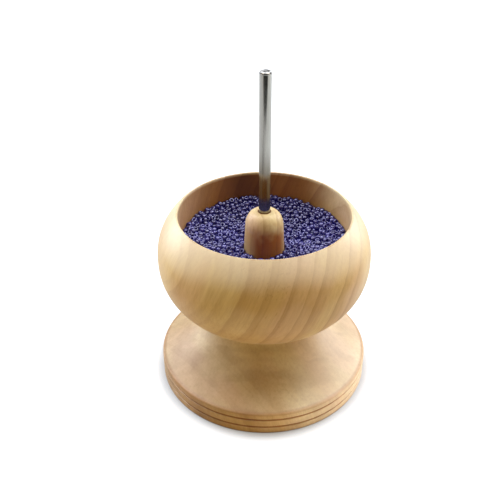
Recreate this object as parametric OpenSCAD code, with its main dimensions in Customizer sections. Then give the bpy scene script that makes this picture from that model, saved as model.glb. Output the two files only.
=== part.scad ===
// Bead spinner. A turned wooden bowl of seed beads stands on a turned wooden base.
// A steel spindle is fixed in the post at the bowl's centre. Its lower end turns in
// a closed bearing cup in the base, on a steel ball, and the bowl lifts off with it.
// Millimetres, +Z up, origin at the centre of the base's underside.

/* [Base] */
// Diameter of the foot
foot_d = 67.8; // [60:0.2:76]
// Height of the foot's upright edge
foot_edge_h = 7.7; // [7:0.1:10]
// Height of the base, up to the flat top of its neck
base_h = 24; // [21:0.5:30]
// Diameter of the neck
neck_d = 34; // [26:0.5:38]
// How hollow the flare between foot and neck is: 1 is a straight cone
flare_hollow = 1.8; // [1.2:0.1:2.6]
// Radius of the foot's top edge
edge_round = 0.7; // [0.3:0.1:1]
// Bevel round the underside and round the top of the neck
base_bevel = 0.4; // [0.2:0.1:0.8]

/* [Grooves] */
// Height of the lower groove's middle
groove_z = 2.5; // [1.8:0.1:3]
// Distance from one groove to the next
groove_pitch = 2.9; // [2:0.1:3]
// Number of grooves round the foot
groove_count = 2; // [1:1:2]
// Width of a groove at its mouth
groove_w = 0.8; // [0.4:0.1:1.2]
// Depth of a groove
groove_depth = 0.5; // [0.2:0.1:0.9]

/* [Spindle and bearing] */
// Diameter of the spindle and of the ball under it
spindle_d = 3.5; // [2.6:0.1:4]
// Length of spindle that stands above the post
spindle_reach = 43.1; // [30:0.1:60]
// Bevel at both ends of the spindle
spindle_bevel = 0.35; // [0.2:0.05:0.6]
// Radial running clearance of the spindle in its cup
running_gap = 0.05; // [0.02:0.01:0.09]
// Clearance above and below the ball
pivot_gap = 0.05; // [0.02:0.01:0.1]
// Wall of the bearing cup
cup_wall = 1.2; // [0.8:0.1:2]
// Thickness of the cup's closed end
cup_floor_t = 1.5; // [1:0.1:2.5]
// How far the cup's flange stands out
cup_flange_w = 1.2; // [0.8:0.1:2]
// Thickness of the cup's flange
cup_flange_t = 0.6; // [0.4:0.1:1.2]
// Wood left under the cup
base_floor_t = 5; // [3:0.5:8]

/* [Bowl] */
// Running gap between the base's neck and the bowl
bowl_gap = 0.6; // [0.4:0.1:1]
// Diameter of the bowl at its belly
bowl_d = 65.9; // [60:0.1:72]
// Height of the bowl
bowl_h = 33.9; // [30:0.1:40]
// Height of the belly above the bowl's underside
belly_h = 19.3; // [16:0.1:21]
// Diameter of the flat underside
bottom_d = 40; // [34:0.5:48]
// Roundness of the bowl below its belly: 2 is an ellipse
lower_roundness = 2.2; // [1.8:0.1:2.8]
// Roundness of the bowl above its belly: 2 is an ellipse
upper_roundness = 2.25; // [1.8:0.05:2.6]
// Diameter of the mouth
mouth_d = 52.2; // [47:0.1:54]
// Radius of the mouth's edge, where the outside runs over into the hollow
lip_round = 0.3; // [0.2:0.1:0.6]
// Slope of the outside where it meets the mouth's edge
lip_slope = 45; // [20:5:60]
// Thickness of the bowl's floor
bowl_floor_t = 6.9; // [6.2:0.1:9]
// How much narrower the hollow is at its floor than at the mouth, on each side
hollow_taper = 1.1; // [0:0.1:2]
// Radius between the hollow's wall and its floor
hollow_round = 10; // [5:0.5:14]

/* [Post] */
// Height of the post above the bowl's floor
post_h = 27; // [23:0.1:32]
// Diameter of the post at the bowl's floor
post_foot_d = 14; // [12:0.1:16]
// Diameter of the post at its shoulder
post_shoulder_d = 11.7; // [10:0.1:13]
// Diameter of the flat on top of the post
post_top_d = 5.2; // [4.6:0.1:7]
// Height of the rounded shoulder
post_shoulder_h = 5; // [3:0.1:8]
// Diameter of the tenon that is glued into the bowl's floor
tenon_d = 9; // [7:0.1:11]
// Length of the tenon
tenon_h = 5; // [3:0.1:5.4]
// Clearance of glued and pressed joints
glue_gap = 0.03; // [0.02:0.01:0.05]

/* [Beads] */
// Depth of the beads at the post, to the tops of the upper ones
fill_at_post = 14.5; // [8:0.5:18]
// Depth of the beads at the bowl's wall, to the tops of the upper ones
fill_at_wall = 19; // [15:0.5:21]
// How sharply the dished surface climbs to the wall
fill_dish = 1.4; // [1:0.1:3]
// Clearance of the beads from the wood
fill_gap = 0.15; // [0.1:0.05:0.3]
// Diameter of a bead
bead_d = 1.8; // [1.4:0.1:2.2]
// Length of a bead
bead_l = 1.3; // [1:0.1:1.8]
// Spacing of the upper beads that stand out of the rest
bead_pitch = 3; // [2.4:0.1:5]

/* [Hidden] */
ROUND_FN = 96;
CURVE_STEPS = 16;
ARC_STEPS = 6;
CUP_END_GAP = 0.2;
CUP_MOUTH_BEVEL = 0.3;
BEAD_SIDES = 6;
BEAD_TILT = 80;
GOLDEN_ANGLE = 137.508;

foot_r = foot_d / 2;
neck_r = neck_d / 2;
spindle_r = spindle_d / 2;
cup_bore_r = spindle_r + running_gap;
cup_r = cup_bore_r + cup_wall;
cup_flange_r = cup_r + cup_flange_w;
ball_z = base_floor_t + cup_floor_t + pivot_gap + spindle_r;
spindle_low_z = ball_z + spindle_r + pivot_gap;

bowl_r = bowl_d / 2;
bottom_r = bottom_d / 2;
mouth_r = mouth_d / 2;
bowl_z = base_h + bowl_gap;
belly_z = bowl_z + belly_h;
rim_z = bowl_z + bowl_h;
lip_z = rim_z - lip_round;
lip_r = mouth_r + lip_round;
floor_z = bowl_z + bowl_floor_t;
hollow_low_r = mouth_r - hollow_taper;

post_z = floor_z + post_h;
post_foot_r = post_foot_d / 2;
post_shoulder_r = post_shoulder_d / 2;
post_top_r = post_top_d / 2;
post_shoulder_z = post_z - post_shoulder_h;
spindle_top_z = post_z + spindle_reach;

WOOD = [0.87, 0.74, 0.56];
POST_WOOD = [0.80, 0.64, 0.45];
STEEL = [0.67, 0.66, 0.64];
BRASS = [0.76, 0.62, 0.34];
BEAD_BLUE = [0.17, 0.15, 0.38];

// Points on an arc about [r, z], from angle a to angle b
function arc(r, z, size, a, b) = [
    for (i = [0 : ARC_STEPS])
        let (t = a + (b - a) * i / ARC_STEPS)
            [r + size * cos(t), z + size * sin(t)]
];

// How far from the belly the curve would reach the axis, if it passes through the
// point at radius r and height dz from the belly
function reach(r, dz, roundness) =
    dz / pow(1 - pow(r / bowl_r, roundness), 1 / roundness);

// Radius of the bowl's outside at height dz from the belly
function belly_r(dz, full, roundness) =
    bowl_r * pow(1 - pow(dz / full, roundness), 1 / roundness);

// Points of the bowl's outside, from its underside to its lip
function outside() =
    let (
        lip_dz = lip_z + lip_round * cos(lip_slope) - belly_z,
        low = reach(bottom_r, belly_h, lower_roundness),
        high = reach(lip_r + lip_round * sin(lip_slope), lip_dz, upper_roundness)
    )
    concat(
        [
            for (i = [0 : CURVE_STEPS - 1])
                let (dz = belly_h * (1 - i / CURVE_STEPS))
                    [belly_r(dz, low, lower_roundness), belly_z - dz]
        ],
        [
            for (i = [0 : CURVE_STEPS - 1])
                let (dz = lip_dz * i / CURVE_STEPS)
                    [belly_r(dz, high, upper_roundness), belly_z + dz]
        ]
    );

// Radius of the hollow's wall at height z
function hollow_r(z) =
    mouth_r - hollow_taper * (lip_z - z) / (lip_z - floor_z - hollow_round);

// Points of the hollow's rounded corner, drawn in by gap, between two angles
function hollow_corner(gap, a, b) =
    arc(hollow_low_r - hollow_round, floor_z + hollow_round, hollow_round - gap, a, b);

// Radius of the post's tapered side at height z
function post_r(z) =
    post_foot_r + (post_shoulder_r - post_foot_r) * (z - floor_z) / (post_shoulder_z - floor_z);

// The upper beads are half sunk in the rest, whose surface is dished from the post to the wall
fill_low_z = floor_z + fill_at_post - bead_l / 2;
fill_high_z = floor_z + fill_at_wall - bead_l / 2;
fill_in_r = post_r(fill_low_z) + fill_gap;
fill_out_r = hollow_r(fill_high_z) - fill_gap;
bead_reach = norm([bead_d, bead_l]) / 2;
bead_in_r = fill_in_r + bead_reach;
bead_out_r = fill_out_r - bead_reach;
bead_count = floor(PI * (pow(bead_out_r, 2) - pow(bead_in_r, 2)) / (pow(bead_pitch, 2) * sin(60)));

// Height of the dished surface at radius r
function fill_z(r) =
    let (t = (r - fill_in_r) / (fill_out_r - fill_in_r))
        fill_low_z + (fill_high_z - fill_low_z) * pow(t, fill_dish);

// Radius of upper bead number i, spaced so that each has the same room
function bead_r(i) =
    sqrt(pow(bead_in_r, 2) + (pow(bead_out_r, 2) - pow(bead_in_r, 2)) * (i + 0.5) / bead_count);

// A share of a turn that differs from bead to bead
function part_turn(i, step) = i * step - floor(i * step);

// One groove in the foot's edge, bottom up
function groove(z) = [
    [foot_r, z - groove_w / 2],
    [foot_r - groove_depth, z],
    [foot_r, z + groove_w / 2]
];

// The flare from the foot's top edge up to the neck
function flare() =
    let (wide = foot_r - edge_round, top = base_h - base_bevel)
    [
        for (i = [1 : CURVE_STEPS])
            let (t = 1 - i / CURVE_STEPS)
                [neck_r + (wide - neck_r) * pow(t, flare_hollow), top - (top - foot_edge_h) * t]
    ];

module turned(outline) {
    rotate_extrude($fn = ROUND_FN)
        polygon(outline);
}

module base() {
    grooves = [for (i = [0 : groove_count - 1], p = groove(groove_z + i * groove_pitch)) p];
    color(WOOD)
        difference() {
            turned(concat(
                [[0, 0], [foot_r - base_bevel, 0], [foot_r, base_bevel]],
                grooves,
                arc(foot_r - edge_round, foot_edge_h - edge_round, edge_round, 0, 90),
                flare(),
                [[neck_r - base_bevel, base_h], [0, base_h]]
            ));
            translate([0, 0, base_floor_t - CUP_END_GAP])
                cylinder(r = cup_r + glue_gap, h = base_h, $fn = ROUND_FN);
            translate([0, 0, base_h - cup_flange_t])
                cylinder(r = cup_flange_r + glue_gap, h = base_h, $fn = ROUND_FN);
        }
}

module bearing_cup() {
    cup_floor_z = base_floor_t + cup_floor_t;
    color(BRASS)
        turned([
            [0, base_floor_t],
            [cup_r, base_floor_t],
            [cup_r, base_h - cup_flange_t],
            [cup_flange_r, base_h - cup_flange_t],
            [cup_flange_r, base_h],
            [cup_bore_r + CUP_MOUTH_BEVEL, base_h],
            [cup_bore_r, base_h - CUP_MOUTH_BEVEL],
            [cup_bore_r, cup_floor_z],
            [0, cup_floor_z]
        ]);
}

module pivot_ball() {
    color(STEEL)
        translate([0, 0, ball_z])
            sphere(r = spindle_r, $fn = ROUND_FN);
}

module spindle() {
    color(STEEL)
        turned([
            [0, spindle_low_z],
            [spindle_r - spindle_bevel, spindle_low_z],
            [spindle_r, spindle_low_z + spindle_bevel],
            [spindle_r, spindle_top_z - spindle_bevel],
            [spindle_r - spindle_bevel, spindle_top_z],
            [0, spindle_top_z]
        ]);
}

module bowl() {
    bore_r = spindle_r + glue_gap;
    socket_r = tenon_d / 2 + glue_gap;
    socket_z = floor_z - tenon_h - glue_gap;
    color(WOOD)
        turned(concat(
            [[bore_r, bowl_z]],
            outside(),
            arc(lip_r, lip_z, lip_round, 90 - lip_slope, 180),
            hollow_corner(0, 0, -90),
            [[socket_r, floor_z], [socket_r, socket_z], [bore_r, socket_z]]
        ));
}

module hub_post() {
    bore_r = spindle_r + glue_gap;
    tenon_r = tenon_d / 2;
    color(POST_WOOD)
        turned(concat(
            [
                [bore_r, floor_z - tenon_h],
                [tenon_r, floor_z - tenon_h],
                [tenon_r, floor_z],
                [post_foot_r, floor_z]
            ],
            [
                for (i = [0 : CURVE_STEPS])
                    let (t = 90 * i / CURVE_STEPS)
                        [
                            post_top_r + (post_shoulder_r - post_top_r) * cos(t),
                            post_shoulder_z + post_shoulder_h * sin(t)
                        ]
            ],
            [[bore_r, post_z]]
        ));
}

// The beads as one solid, out of which the upper ones stand as short barrels, each tipped its own way
module bead_fill() {
    color(BEAD_BLUE) {
        turned(concat(
            [[post_foot_r + fill_gap, floor_z + fill_gap]],
            hollow_corner(fill_gap, -90, 0),
            [
                for (i = [0 : CURVE_STEPS])
                    let (r = fill_out_r + (fill_in_r - fill_out_r) * i / CURVE_STEPS)
                        [r, fill_z(r)]
            ]
        ));
        for (i = [0 : bead_count - 1])
            rotate([0, 0, i * GOLDEN_ANGLE])
                translate([bead_r(i), 0, fill_z(bead_r(i))])
                    rotate([0, BEAD_TILT * part_turn(i, 0.57), 360 * part_turn(i, 0.755)])
                        cylinder(d = bead_d, h = bead_l, center = true, $fn = BEAD_SIDES);
    }
}

base();
bearing_cup();
pivot_ball();
spindle();
bowl();
hub_post();
bead_fill();
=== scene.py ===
# Bead spinner: a turned wooden bowl of glass seed beads on a turned wooden base,
# with a ground steel spindle standing in the bowl's post.
import math

import bpy
import numpy as np
from mathutils import Matrix, Vector


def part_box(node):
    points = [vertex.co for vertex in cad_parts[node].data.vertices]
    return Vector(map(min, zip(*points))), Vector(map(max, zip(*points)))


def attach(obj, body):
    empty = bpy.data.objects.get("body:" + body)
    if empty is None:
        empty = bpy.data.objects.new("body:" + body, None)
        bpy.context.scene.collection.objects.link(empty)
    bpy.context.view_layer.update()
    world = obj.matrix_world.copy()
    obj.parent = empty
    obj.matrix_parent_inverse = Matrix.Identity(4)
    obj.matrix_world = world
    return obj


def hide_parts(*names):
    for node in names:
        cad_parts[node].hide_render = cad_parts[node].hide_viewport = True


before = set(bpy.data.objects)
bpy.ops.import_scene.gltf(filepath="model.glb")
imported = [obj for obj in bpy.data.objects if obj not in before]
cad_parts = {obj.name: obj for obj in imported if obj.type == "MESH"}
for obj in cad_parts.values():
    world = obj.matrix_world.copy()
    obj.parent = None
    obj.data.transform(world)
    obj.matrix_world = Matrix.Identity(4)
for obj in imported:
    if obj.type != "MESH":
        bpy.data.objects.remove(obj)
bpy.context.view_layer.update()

MM = 0.001


def srgb(red, green, blue):
    """A colour given as 0 to 255, made linear for a shader."""
    def linear(value):
        value /= 255
        return value / 12.92 if value <= 0.04045 else ((value + 0.055) / 1.055) ** 2.4
    return (linear(red), linear(green), linear(blue), 1.0)


# Sizes in millimetres and angles in degrees. A node's box in the frame gives its main sizes

_, BASE_HIGH = (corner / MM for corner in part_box("base"))
BOWL_LOW, BOWL_HIGH = (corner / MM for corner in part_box("bowl"))
POST_LOW, POST_HIGH = (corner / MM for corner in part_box("hub_post"))
SPINDLE_LOW, SPINDLE_HIGH = (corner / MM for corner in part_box("spindle"))
CUP_LOW, CUP_HIGH = (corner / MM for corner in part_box("bearing_cup"))

FOOT_R = BASE_HIGH.y
BASE_H = BASE_HIGH.z
FOOT_EDGE_H = 7.7
NECK_R = 17.0
FLARE_HOLLOW = 1.8
EDGE_ROUND = 0.7
SMALL_BEVEL = 0.4
GROOVE_HEIGHTS = (2.5, 5.4)
GROOVE_W = 0.8
GROOVE_DEPTH = 0.5
GROOVE_SQUARENESS = 2.5

SPINDLE_R = SPINDLE_HIGH.y
SPINDLE_TOP_Z = SPINDLE_HIGH.z
SPINDLE_BEVEL = 0.35
TIP_H = 0.8
# The tip's rounding, as (inward from the side, below the top)
TIP_ROUNDING = ((0.02, 0.5), (0.07, 0.3), (0.16, 0.13), (0.28, 0.03), (0.42, 0.0))
GLUE_GAP = 0.03
BORE_R = SPINDLE_R + GLUE_GAP
CUP_PLAY = 0.05
CUP_WALL = 1.2
CUP_R = SPINDLE_R + CUP_PLAY + CUP_WALL
CUP_FLANGE_R = CUP_HIGH.y
CUP_FLANGE_T = 0.6
CUP_END_GAP = 0.2

BOWL_R = BOWL_HIGH.y
BOWL_Z = BOWL_LOW.z
RIM_Z = BOWL_HIGH.z
BELLY_RISE = 19.3
BELLY_Z = BOWL_Z + BELLY_RISE
BOTTOM_R = 20.0
LOWER_ROUNDNESS = 2.2
UPPER_ROUNDNESS = 2.25
MOUTH_R = 26.1
LIP_ROUND = 0.3
LIP_SLOPE = 45
LIP_R = MOUTH_R + LIP_ROUND
LIP_Z = RIM_Z - LIP_ROUND
FLOOR_T = 6.9
FLOOR_Z = BOWL_Z + FLOOR_T
HOLLOW_TAPER = 1.1
HOLLOW_ROUND = 10.0
HOLLOW_CORNER_R = MOUTH_R - HOLLOW_TAPER - HOLLOW_ROUND

POST_TOP_Z = POST_HIGH.z
POST_FOOT_R = POST_HIGH.y
POST_SHOULDER_R = 5.85
POST_SHOULDER_H = 5.0
POST_SHOULDER_Z = POST_TOP_Z - POST_SHOULDER_H
POST_TOP_R = 2.6
SUNK_W = 0.2
SUNK_FOOT_W = 0.05
SUNK_DEPTH = 0.5
TENON_R = 4.5
TENON_LOW_Z = POST_LOW.z

# The bed of beads climbs from the post to the wall. Its upper beads have the same places here as
# in the solid, half sunk in the rest
FILL_AT_POST = 14.5
FILL_AT_WALL = 19.0
FILL_DISH = 1.4
FILL_GAP = 0.15
SOLID_BEAD_D = 1.8
SOLID_BEAD_L = 1.3
SOLID_BEAD_PITCH = 3.0
SOLID_BEAD_TILT = 80
GOLDEN_ANGLE = 137.508
TILT_STEP = 0.57
HEADING_STEP = 0.755

BEAD_R = 0.88
BEAD_HOLE_R = 0.32
BEAD_LENGTH = 1.3
BEAD_STEPS_ROUND = 12
BEAD_WALL_SIDES = 6
BEAD_SIZE_SPREAD = 0.035
BEAD_COUNT = 2900
BEAD_SEED = 11

# How the loose beads are poured and settle. The lying ones' tilt is in radians
POUR_HEIGHTS = (0.5, 5.5)
LYING_SHARE = 0.5
LYING_TILT = 0.3
SETTLE_ROUNDS = 260
ROUNDS_PER_SEARCH = 5
SINKING_SHARE = 0.8
SINK_STEP = 0.035
PUSH = 0.5
BED_DEPTH = 3.2
LEVELLED = 0.25
TOP_LAYER = 1.2
UNDER_LAYER = 2.9
PLAIN_BED_DEPTH = 1.7

# Wood: growth rings as (place across the growth sheets, strength), and tints that run through it
# as cream, tan, rosy and late wood
BOWL_RINGS = (
    (-49, 0.5), (-43.5, 0.5), (-37.5, 0.4), (-29.8, 0.9), (-24.3, 0.7), (-17.8, 1.0), (-12.8, 0.8),
    (-9.4, 0.95), (-1.6, 1.0), (3, 0.8), (8.5, 0.9), (13, 0.7), (18.5, 0.8),
)
BASE_RINGS = (
    (-31, 0.35), (-24, 0.45), (-15, 0.35), (-6, 0.2), (4, 0.08), (13, 0.08), (21, 0.1), (29, 0.12),
)
POST_RINGS = ((-12, 0.7), (-6, 0.9), (-1.5, 0.8), (3, 1.0), (8, 0.7), (13, 0.8))
BOWL_TINTS = (srgb(242, 223, 182), srgb(228, 201, 156), srgb(232, 202, 172), srgb(176, 132, 86))
BASE_TINTS = (srgb(247, 230, 187), srgb(233, 208, 161), srgb(235, 206, 169), srgb(182, 139, 93))
POST_TINTS = (srgb(244, 224, 170), srgb(232, 204, 148), srgb(238, 202, 170), srgb(170, 122, 74))
RING_MARGIN = 6
RING_EDGE = 0.3
RING_FADE = 2.8
RING_DARKNESS = 0.52
RING_SWAY = 2.4
RING_WOBBLE = 0.5
FIBRE_DARKNESS = 0.26

# Tints multiply the wood's colour: a few are the wood's own tones, most are painted shade or
# painted light, as said at each. A zone is (where a tone begins, where it is full)
# Painted shade in the hollow below the lip, lighter towards the left and right walls and most on
# the right, where the lamps reach in
HOLLOW_PAINTED_SHADE = (0.47, 0.26, 0.08, 1.0)
HOLLOW_OUT = MOUTH_R + 0.2
HOLLOW_TOP = (RIM_Z - 0.2, RIM_Z - 1.2)
HOLLOW_LEFT = (-14.0, -26.0)
HOLLOW_LEFT_PALER = 0.25
HOLLOW_RIGHT = (12.0, 26.0)
HOLLOW_RIGHT_PALER = 0.7
# A dark patch on the hollow's back wall behind the post: partly a dark knot in the wood, partly
# painted shade of the post and rod
BACK_KNOT_AND_SHADE = (0.42, 0.32, 0.2, 1.0)
HEART_X = -5.5
HEART_ASIDE = (12.0, 1.0)
HEART_BACK = (6.0, 20.0)
# Painted shade: a deeper, warmer amber band round the belly, wandering up and down with a noise
AMBER_PAINTED_SHADE = (0.92, 0.84, 0.6, 1.0)
AMBER_Z = BELLY_Z + 4.0
AMBER_AWAY = (8.0, 1.0)
AMBER_DRIFT = 14.0
# Painted sheen: the outside of the bowl paler and whiter on the shoulder under the lip and far out
# to the left and right, where the lamps' sheen falls
PAINTED_SHEEN_TINT = srgb(250, 232, 204)
PAINTED_SHEEN_SHARE = 0.4
PAINTED_SHEEN_OUT = LIP_R + 0.3
PAINTED_SHEEN_SHOULDER = (RIM_Z - 7.0, RIM_Z - 2.0)
PAINTED_SHEEN_FALL = 0.15
PAINTED_SHEEN_SIDES = (24.0, 32.0)

# Painted shade on the post: warmer low down all round, red-brown towards its foot and most in
# front, and a dark ring where the rod goes in
POST_PAINTED_SHADE = (0.56, 0.25, 0.04, 1.0)
POST_WARM_SHADE = (1.0, 0.93, 0.66, 1.0)
POST_LOW_ZONE = (POST_TOP_Z - 2.4, POST_TOP_Z - 8.0)
POST_DRIFT = 6.0
POST_FRONT_X = 1.4
POST_FRONT_ASIDE = (6.2, 3.0)
POST_SIDE_SHARE = 0.05
ROD_SEAT = (SPINDLE_R + 0.5, SPINDLE_R + 0.15)

# Tan: the wood's own tone in the mottled patches, and on the left a tan figure that is partly
# painted shade
TAN_TONE_AND_SHADE = (0.7, 0.63, 0.53, 1.0)
TAN_LEFT = (12.0, -24.0)
TAN_FIGURE = (0.35, 0.65)
TAN_LEAST = 0.4
MOTTLE_FIGURE = (0.4, 0.62)
MOTTLE_SHARE = 0.45
# Painted light: the base paler on its right side, where the right lamps fall
FOOT_PAINTED_LIGHT = srgb(252, 240, 224)
FOOT_PAINTED_LIGHT_RIGHT = (2.0, 22.0)
FOOT_PAINTED_LIGHT_SHARE = 0.22
# Painted shade: a warmer golden tone at the front centre of the base, under the bowl
GOLD_PAINTED_SHADE = (1.0, 0.94, 0.82, 1.0)
GOLD_ASIDE = (24.0, 12.0)
GOLD_FRONT = (-20.0, -27.0)
GOLD_DRIFT = 14.0
# The flare's outer part a little darker and greyer all round
BRIM_DARKER = (0.9, 0.86, 0.84, 1.0)
BRIM_OUT = (19.0, 27.0)
FOOT_SIDE_STAIN = (0.98, 0.92, 0.88, 1.0)
FOOT_SIDE_OUT = (FOOT_R - 0.9, FOOT_R - 0.4)
# Dark brown in the grooves, partly burn lines and partly painted shade; the same colour paints
# shade at the foot's bottom edge and at the crease under its top edge
GROOVE_BURN_AND_SHADE = (0.6, 0.39, 0.26, 1.0)
GROOVE_AWAY = (0.6, 0.2)
GROOVE_OUT = (FOOT_R - 0.02, FOOT_R - 0.2)
# Painted shade along the foot's bottom edge, where it meets the floor
FOOT_BOTTOM_SHADE = (0.9, 0.2)
FOOT_BOTTOM_SHADE_SHARE = 0.6
# Painted shade in a dark line at the crease between the flare and the foot's side
TOP_EDGE_Z = FOOT_EDGE_H - 0.2
TOP_EDGE_AWAY = (0.6, 0.1)
TOP_EDGE_OUT = (FOOT_R - 1.8, FOOT_R - 1.2)
TOP_EDGE_SHARE = 0.5

# Steel, brass and glass, with each one's tints and roughness from one end to the other
STEEL_TINTS = (srgb(186, 188, 187), srgb(212, 214, 213))
STEEL_ROUGHNESS = (0.09, 0.17)
SAWN_TINTS = (srgb(60, 60, 62), srgb(216, 216, 216))
SAWN_ROUGHNESS = (0.4, 0.4, 0.4, 1.0)
# A darker arc round the back of the tip's rim
TIP_BACK_RIM_TINT = srgb(92, 92, 92)
TIP_BACK_RIM_OUT = (SPINDLE_R - 0.6, SPINDLE_R - 0.35)
TIP_BACK_RIM_BACK = (-0.4, 0.5)
TIP_ZONE = (SPINDLE_TOP_Z - TIP_H, SPINDLE_TOP_Z - TIP_H + 0.3)
# Painted reflection: the rod darker low down near the post, standing in for the dark hollow and
# beads it mirrors
ROD_FOOT_PAINTED_REFLECTION = (0.46, 0.42, 0.37, 1.0)
ROD_FOOT = (POST_TOP_Z + 22.0, POST_TOP_Z + 11.0)
BRASS_TINTS = (srgb(186, 146, 74), srgb(214, 178, 104))
BRASS_ROUGHNESS = (0.22, 0.36)
BALL_TINTS = (srgb(200, 200, 200), srgb(226, 226, 226))
BALL_ROUGHNESS = (0.06, 0.14)
GLASS_TINTS = (srgb(28, 27, 84), srgb(42, 41, 110), srgb(66, 64, 142))
GLASS_ROUGHNESS = (0.1, 0.2)
GLASS_SHINE = (0.74, 0.72, 1.0, 1.0)
# Painted light: a faint blue glow in the beads, lifting the gaps between them
PAINTED_BLUE_GLOW = (0.0015, 0.0005, 0.016, 1.0)
# Painted shade: the beads towards the back darker
FAR_BEADS_PAINTED_SHADE = (0.55, 0.55, 0.55, 1.0)
FAR_BEADS = (2.0, 18.0)
DEEP_TINTS = (srgb(28, 24, 92), srgb(46, 40, 124))

# Floor and room, with what the camera, the steel and the wood see of them
WHITE = (1.0, 1.0, 1.0, 1.0)
BLACK = (0.0, 0.0, 0.0, 1.0)
FLOOR_WHITE = (0.5, 0.53, 0.58, 1.0)
FLOOR_WARM_LEFT = (0.62, 0.43, 0.19, 1.0)
FLOOR_WARM_RIGHT = (0.72, 0.57, 0.36, 1.0)
FLOOR_WARM_ZONE = (-5.0, 50.0)
FLOOR_IN_STEEL_LEFT = (0.5, 0.49, 0.48, 1.0)
FLOOR_IN_STEEL_RIGHT = (0.64, 0.64, 0.63, 1.0)
FLOOR_IN_STEEL_ZONE = (-60.0, 60.0)
FLOOR_GLOW = 0.67
FLOOR_FAR = (120.0, 300.0)
CONTACT_SHADOW_W = 3.8
ROOM_HIGH = (0.35, 0.85)
ROOM_IN_STEEL = ((0.0, 0.1), (0.5, 0.75), (0.8, 1.0))
CARD_TINT = (0.02, 0.02, 0.018, 1.0)

# Lights, cards and camera, in metres, degrees and watts. A lamp's bearing is from the front to the
# right, and its height above level
FLOOR_HALF_W = 2.5
FRONT_CARD_HALF_W = 0.175
FRONT_CARD_Y = -0.212
FRONT_CARD_H = 0.13
FLOOR_CARD_BEARING = -36
FLOOR_CARD_HALF_W = 0.012
FLOOR_CARD_NEAR = 0.08
FLOOR_CARD_FAR = 0.19
FLOOR_CARD_LIFT = 0.001
WARM_FILL = (1.0, 0.74, 0.32)
COOL_BACK = (0.94, 0.97, 1.0)
LAMP_DISTANCE = 0.7
LAMP_W = 0.35
LAMP_PIVOT_Z = 0.04
LAMP_AIM = (0, 0, 0.045)
LAMPS = (
    ("overhead", 0, 90, 1.85, WHITE[:3]),
    ("right_front", 60, 30, 0.78, WARM_FILL),
    ("right_back_high", 120, 50, 2.8, COOL_BACK),
    ("right_back_low", 120, 15, 2.15, COOL_BACK),
    ("left_back_high", 240, 50, 2.5, COOL_BACK),
    ("left_back_low", 240, 15, 2.6, COOL_BACK),
    ("left_front", 300, 25, 0.58, WARM_FILL),
)
OFF_THE_ROD = ("right_back_low", "left_back_low")
FOOT_LAMP_PLACE = (0.175, -0.035, 0.004)
FOOT_LAMP_AIM = (0.026, -0.016, 0.004)
FOOT_LAMP_W = 0.06
FOOT_LAMP_H = 0.006
FOOT_LAMP_WATTS = 0.0012
FOOT_LAMP_SPREAD = 6

# The camera stands as the photograph was taken: close to the object, 32 degrees above level
CAMERA_PLACE = (-2.84, -180.0, 161.3)
CAMERA_DOWN = 32.43
CAMERA_LENS = 49.57
CAMERA_SENSOR_W = 36
CAMERA_SHIFT = (-0.018, -0.013)


# Outlines of the turned pieces, as points (radius, height) that keep the wood on their left

def arc(radius, height, size, start, end, steps=8):
    """Points on an arc about (radius, height), between two angles in degrees."""
    angles = [math.radians(start + (end - start) * i / steps) for i in range(steps + 1)]
    return [(radius + size * math.cos(a), height + size * math.sin(a)) for a in angles]


def groove(height):
    """A round-bottomed groove in the foot's edge, from its lower lip to its upper lip."""
    steps = 6
    outline = []
    for i in range(steps + 1):
        place = -1 + 2 * i / steps
        depth = GROOVE_DEPTH * (1 - abs(place) ** GROOVE_SQUARENESS)
        outline.append((FOOT_R - depth, height + GROOVE_W / 2 * place))
    return outline


def base_outline():
    """Foot, hollow flare and neck, with the recess for the bearing cup."""
    wide = FOOT_R - EDGE_ROUND
    top = BASE_H - SMALL_BEVEL
    steps = 44
    flare = []
    for i in range(1, steps + 1):
        t = 1 - i / steps
        radius = NECK_R + (wide - NECK_R) * t ** FLARE_HOLLOW
        flare.append((radius, top - (top - FOOT_EDGE_H) * t))
    recess_r = CUP_R + GLUE_GAP
    flange_r = CUP_FLANGE_R + GLUE_GAP
    flange_z = BASE_H - CUP_FLANGE_T
    recess_z = CUP_LOW.z - CUP_END_GAP
    return (
        [(0, 0)]
        + arc(FOOT_R - SMALL_BEVEL, SMALL_BEVEL, SMALL_BEVEL, -90, 0, steps=5)
        + [point for height in GROOVE_HEIGHTS for point in groove(height)]
        + arc(wide, FOOT_EDGE_H - EDGE_ROUND, EDGE_ROUND, 0, 90)
        + flare
        + arc(NECK_R - SMALL_BEVEL, top, SMALL_BEVEL, 0, 90, steps=4)[1:]
        + [(flange_r, BASE_H), (flange_r, flange_z), (recess_r, flange_z)]
        + [(recess_r, recess_z), (0, recess_z)]
    )


def belly_radius(rise, full, roundness):
    """Radius of the belly at a distance above or below its widest place."""
    return BOWL_R * (1 - (rise / full) ** roundness) ** (1 / roundness)


def belly_reach(radius, rise, roundness):
    """How far from the belly the curve would meet the axis, if it passes through a point."""
    return rise / (1 - (radius / BOWL_R) ** roundness) ** (1 / roundness)


def hollow_radius(height):
    """Radius of the hollow's wall at a height."""
    return MOUTH_R - HOLLOW_TAPER * (LIP_Z - height) / (LIP_Z - FLOOR_Z - HOLLOW_ROUND)


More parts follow.
